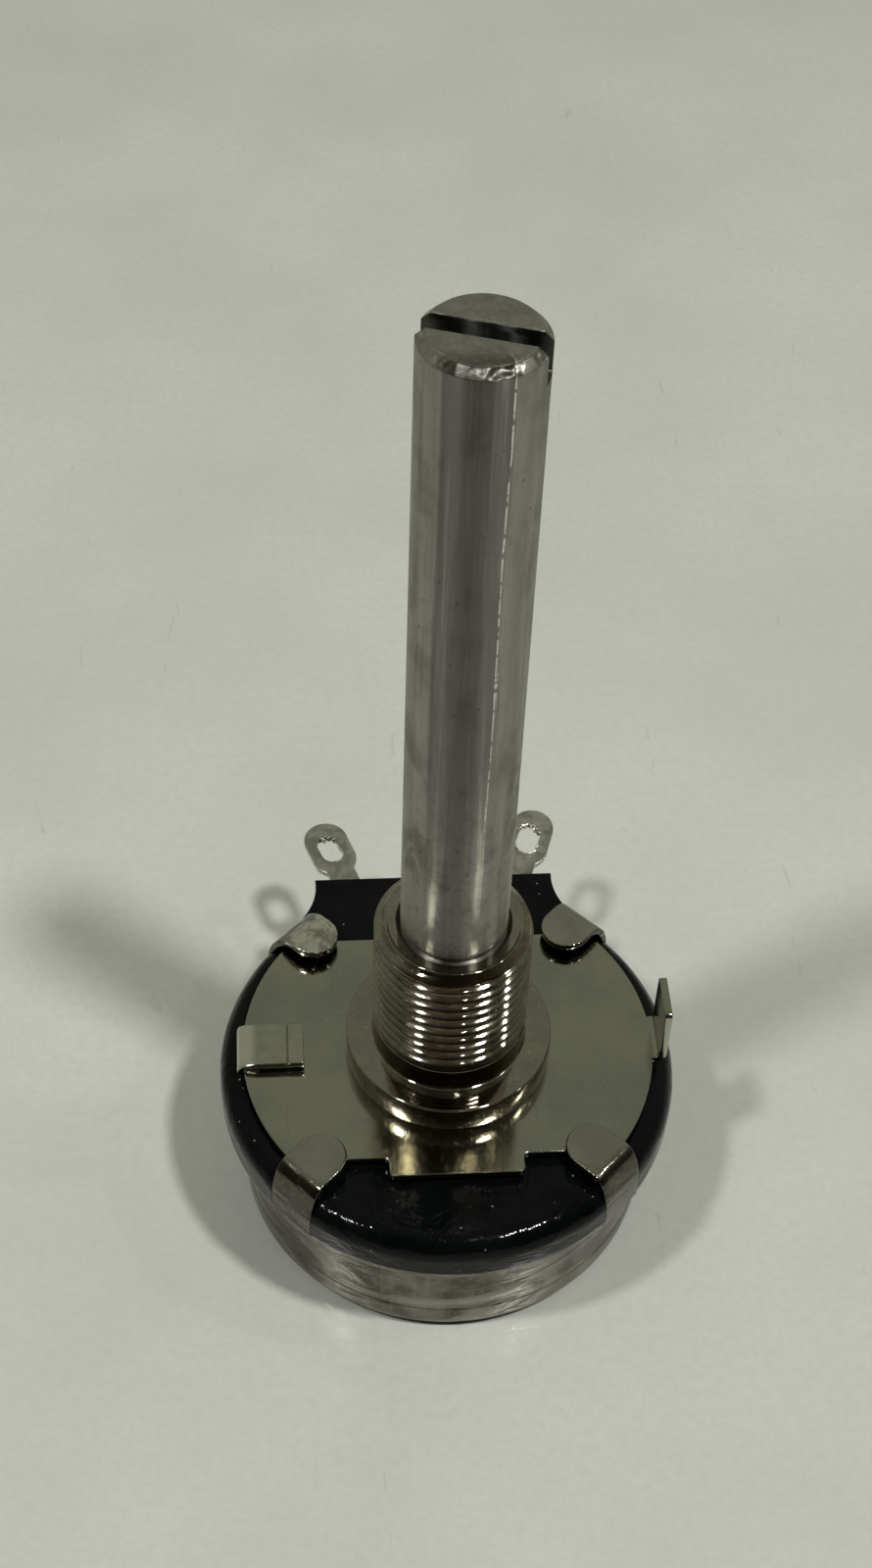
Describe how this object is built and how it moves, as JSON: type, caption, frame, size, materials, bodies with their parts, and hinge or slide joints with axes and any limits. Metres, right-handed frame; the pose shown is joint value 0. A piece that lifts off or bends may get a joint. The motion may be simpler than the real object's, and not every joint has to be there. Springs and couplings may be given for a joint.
{
  "type": "rotary potentiometer",
  "caption": "Panel-mount rotary potentiometer with a long slotted round shaft, fine-threaded bushing, black ring housing, strapped metal cover and solder lugs.",
  "frame": {"origin": "centre of the rear cover's outer face, on the shaft axis; the part rests on this face", "axes": "+Z along the shaft to its slotted end, +Y towards the solder terminals, +X towards the standing locating lug"},
  "size_m": [0.027, 0.0329, 0.0635],
  "materials": {
    "shaft_metal": "satin turned nickel plate with a few fine marks",
    "bushing_metal": "bright nickel plate, warm reflections",
    "plate_metal": "smooth bright nickel sheet",
    "cover_metal": "drawn nickel-plated sheet with fine draw lines",
    "moulding": "glossy black phenolic moulding",
    "tinned_lug": "tinned brass with ragged edges in the eyes",
    "spring_brass": "bright brass",
    "phenolic_board": "phenolic paper board",
    "carbon": "moulded carbon",
    "steel_small": "plated spring steel"
  },
  "bodies": {
    "case": {"bushing": "bushing_metal", "front_plate": "plate_metal", "housing": "moulding", "rear_cover": "cover_metal", "terminal_left": "tinned_lug", "terminal_centre": "tinned_lug", "terminal_right": "tinned_lug", "rivet_left": "spring_brass", "rivet_centre": "spring_brass", "rivet_right": "spring_brass", "resistive_element": "phenolic_board", "collector_ring": "spring_brass"},
    "rotating_group": {"shaft": "shaft_metal", "retaining_ring": "steel_small", "thrust_washer": "steel_small", "rotor": "phenolic_board", "wiper_spring": "spring_brass", "contact_brush": "carbon", "stop_arm": "steel_small", "tail_washer": "spring_brass"}
  },
  "joints": [
    {"name": "shaft_turn", "type": "hinge", "parent": "case", "child": "rotating_group", "pos_m": [0, 0, 0.0185], "axis": [0, 0, 1], "range_deg": [-150, 150]}
  ]
}
